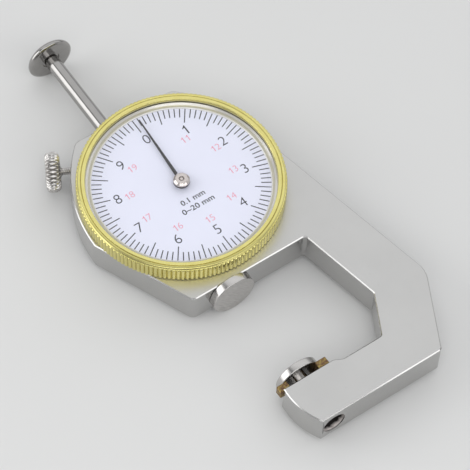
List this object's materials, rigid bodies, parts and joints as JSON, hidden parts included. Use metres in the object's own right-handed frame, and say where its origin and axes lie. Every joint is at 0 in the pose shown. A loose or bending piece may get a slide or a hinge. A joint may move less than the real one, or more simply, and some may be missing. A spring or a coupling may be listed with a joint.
{
  "type": "dial thickness gauge",
  "caption": "Pocket dial thickness gauge: flat C-frame, turning knurled bezel over a white dial, spring-loaded spindle with disc contacts, rack-driven pointer and side lock screw.",
  "frame": {"origin": "On the dial's axis, in the plane of the frame's flat back face.", "axes": "+Z out of the dial, along the pointer's axis; +Y along the spindle towards the lifting cap and the dial's zero; +X towards the spine of the C, so the jaws open to -X."},
  "size_m": [0.0495, 0.0995, 0.0132],
  "materials": {
    "satin_nickel": "satin nickel plate with bright rounded edges",
    "polished_steel": "polished",
    "gold_brass": "bright gold-yellow, turned and knurled",
    "stained_brass": "dull brass with brown stain",
    "movement_brass": "turned brass",
    "plain_steel": "plain turned steel",
    "spring_steel": "dark spring steel",
    "dial_white": "matt white paint with black and red print",
    "pointer_dark": "dark satin",
    "clear_crystal": "clear, polished"
  },
  "bodies": {
    "frame": {"frame": "satin_nickel", "upper_guide_bush": "movement_brass", "lower_guide_bush": "movement_brass", "anvil": "polished_steel", "anvil_shim": "stained_brass", "anvil_screw": "plain_steel", "movement_bridge": "movement_brass", "bridge_pillars": "movement_brass", "bridge_screws": "plain_steel", "upper_pivot_bush": "movement_brass", "lower_pivot_bush": "movement_brass", "hairspring": "spring_steel", "hairspring_stud": "movement_brass", "return_spring": "spring_steel", "spring_anchor_post": "plain_steel", "dial_seat_ring": "satin_nickel", "seat_screws": "plain_steel", "bezel_clip": "spring_steel"},
    "spindle": {"spindle_rod": "polished_steel", "rack_strip": "polished_steel", "lifting_cap": "polished_steel", "contact_disc": "polished_steel", "spring_post": "plain_steel"},
    "pointer": {"pinion_arbor": "movement_brass", "hairspring_collet": "movement_brass", "pointer_hub": "polished_steel", "pointer_hand": "pointer_dark"},
    "bezel": {"bezel": "gold_brass", "crystal": "clear_crystal", "rehaut_ring": "polished_steel", "dial_plate": "dial_white", "dial_clip": "spring_steel"},
    "lock_screw": {"lock_screw": "polished_steel"}
  },
  "joints": [
    {"name": "spindle_slide", "type": "slide", "parent": "frame", "child": "spindle", "axis": [0, -1, 0], "range_m": [0, 0.02009], "deforming": ["return_spring"]},
    {"name": "pointer_spin", "type": "hinge", "parent": "frame", "child": "pointer", "pos_m": [0, 0, 0.0036], "axis": [0, 0, 1], "range_deg": [0, 723.24]},
    {"name": "bezel_turn", "type": "hinge", "parent": "frame", "child": "bezel", "pos_m": [0, 0, 0.0093], "axis": [0, 0, 1], "continuous": true},
    {"name": "lock_turn", "type": "hinge", "parent": "frame", "child": "lock_screw", "pos_m": [-0.0175, 0.01905, 0.0036], "axis": [0.8829, -0.4695, 0], "range_deg": [-360, 150]}
  ],
  "couplings": [
    {"joint": "pointer_spin", "follows": "spindle_slide", "rad_per_m": 628.32}
  ]
}
